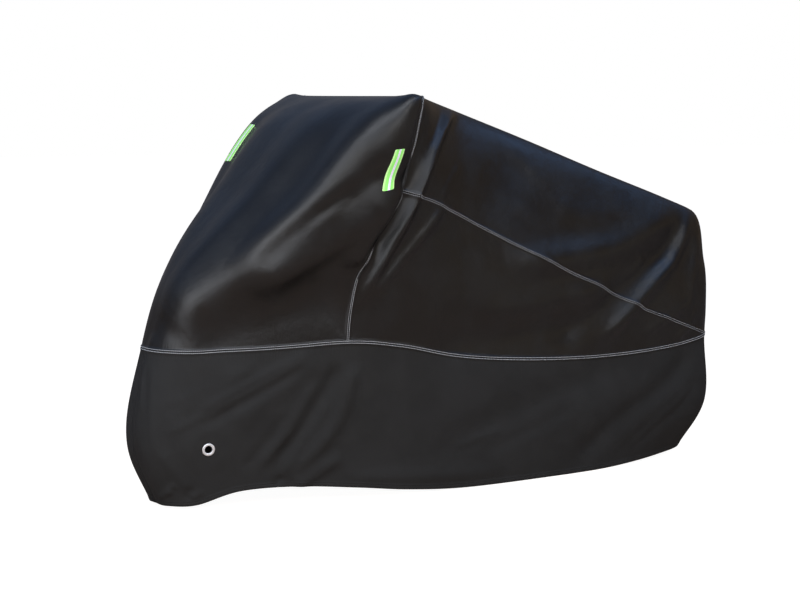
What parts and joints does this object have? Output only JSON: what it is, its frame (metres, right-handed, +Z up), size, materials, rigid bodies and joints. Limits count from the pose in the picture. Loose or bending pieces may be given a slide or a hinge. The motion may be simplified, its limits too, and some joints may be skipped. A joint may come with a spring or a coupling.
{
  "type": "bicycle cover",
  "caption": "Fitted cloth cover draped as over an upright bicycle, with a satin hood and back, a matte skirt, eyelets at the front and reflective strips.",
  "frame": {"origin": "inner face of the cloth over the middle of the handlebar, where the cover rests on the bicycle it is fitted to", "axes": "+X towards the bicycle's rear, -Y the bicycle's left side, +Z up"},
  "size_m": [1.9366, 0.7166, 1.1013],
  "materials": {
    "upper_cloth": "satin coated polyester, black with a blue sheen",
    "skirt_cloth": "matte black polyester",
    "eyelet_metal": "polished",
    "reflective_tape": "bright green with a pale reflective line"
  },
  "bodies": {
    "root": {"front_hood": "upper_cloth", "rear_top": "upper_cloth", "side_panel_left": "upper_cloth", "side_panel_right": "upper_cloth", "skirt_left": "skirt_cloth", "skirt_right": "skirt_cloth", "eyelet_left": "eyelet_metal", "eyelet_right": "eyelet_metal", "reflective_strip_left": "reflective_tape", "reflective_strip_right": "reflective_tape"}
  },
  "joints": []
}
